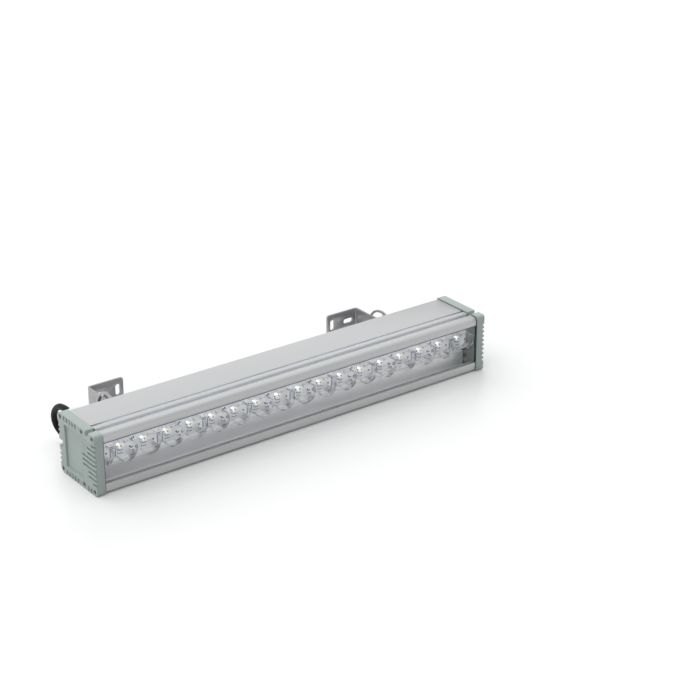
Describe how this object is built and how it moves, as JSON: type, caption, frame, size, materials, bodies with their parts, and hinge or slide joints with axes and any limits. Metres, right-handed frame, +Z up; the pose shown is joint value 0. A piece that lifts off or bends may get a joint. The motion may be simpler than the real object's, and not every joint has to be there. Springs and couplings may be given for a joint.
{
  "type": "outdoor wall washer light",
  "caption": "Linear outdoor LED wall washer: aluminium extrusion with ribbed end caps, lensed LED row behind glass, tilting wall brackets and a supply cord.",
  "frame": {"origin": "on the surface that the end caps stand on, under the middle of the outline from the front of the end caps to the wall faces of the brackets, without the supply cord", "axes": "+X along the light to the end without the cable gland, +Y to the wall, away from the side that shines, +Z up"},
  "size_m": [0.5, 0.1428, 0.067],
  "materials": {
    "extrusion": "fine satin anodised",
    "cap_plastic": "moulded, grey green",
    "gasket_rubber": "matt",
    "stainless": "bright turned",
    "bracket_steel": "rolled sheet, satin",
    "clear_glass": "clear toughened",
    "lens_acrylic": "clear moulded acrylic",
    "board_mask": "white solder mask",
    "led_ceramic": "glazed ceramic",
    "led_phosphor": "silicone dome",
    "driver_plastic": "potted case",
    "thermal_pad": "soft",
    "lead_plastic": "extruded insulation",
    "cord_rubber": "semi matt",
    "gland_nylon": "moulded nylon, white"
  },
  "bodies": {
    "fixture": {"housing": "extrusion", "end_cap_left": "cap_plastic", "end_cap_right": "cap_plastic", "end_gasket_left": "gasket_rubber", "end_gasket_right": "gasket_rubber", "glass_seals": "gasket_rubber", "gland_washer": "gasket_rubber", "gland_seal": "gasket_rubber", "cap_screws_left": "stainless", "slot_nuts_left": "stainless", "plate_screws_left": "stainless", "plate_washers_left": "stainless", "pivot_bolt_left": "stainless", "pivot_nut_left": "stainless", "pivot_washers_left": "stainless", "cap_screws_right": "stainless", "slot_nuts_right": "stainless", "plate_screws_right": "stainless", "plate_washers_right": "stainless", "pivot_bolt_right": "stainless", "pivot_nut_right": "stainless", "pivot_washers_right": "stainless", "board_screws": "stainless", "core_tips": "stainless", "bracket_plate_left": "bracket_steel", "bracket_plate_right": "bracket_steel", "front_glass": "clear_glass", "lens_holders": "lens_acrylic", "lenses": "lens_acrylic", "led_board": "board_mask", "led_packages": "led_ceramic", "led_domes": "led_phosphor", "driver_case": "driver_plastic", "driver_pad": "thermal_pad", "dc_leads": "lead_plastic", "supply_leads": "lead_plastic", "cord_cores": "lead_plastic", "inner_cord": "cord_rubber", "supply_cord": "cord_rubber", "gland_body": "gland_nylon", "gland_nut": "gland_nylon", "gland_locknut": "gland_nylon"},
    "arm_left": {"tilt_arm_left": "bracket_steel", "lock_bolt_left": "stainless", "lock_nut_left": "stainless", "lock_washers_left": "stainless"},
    "arm_right": {"tilt_arm_right": "bracket_steel", "lock_bolt_right": "stainless", "lock_nut_right": "stainless", "lock_washers_right": "stainless"}
  },
  "joints": [
    {"name": "tilt_left", "type": "hinge", "parent": "fixture", "child": "arm_left", "pos_m": [-0.1769, 0.02515, 0.0335], "axis": [1, 0, 0], "range_deg": [-90, 90]},
    {"name": "tilt_right", "type": "hinge", "parent": "fixture", "child": "arm_right", "pos_m": [0.1769, 0.02515, 0.0335], "axis": [1, 0, 0], "range_deg": [-90, 90]}
  ]
}
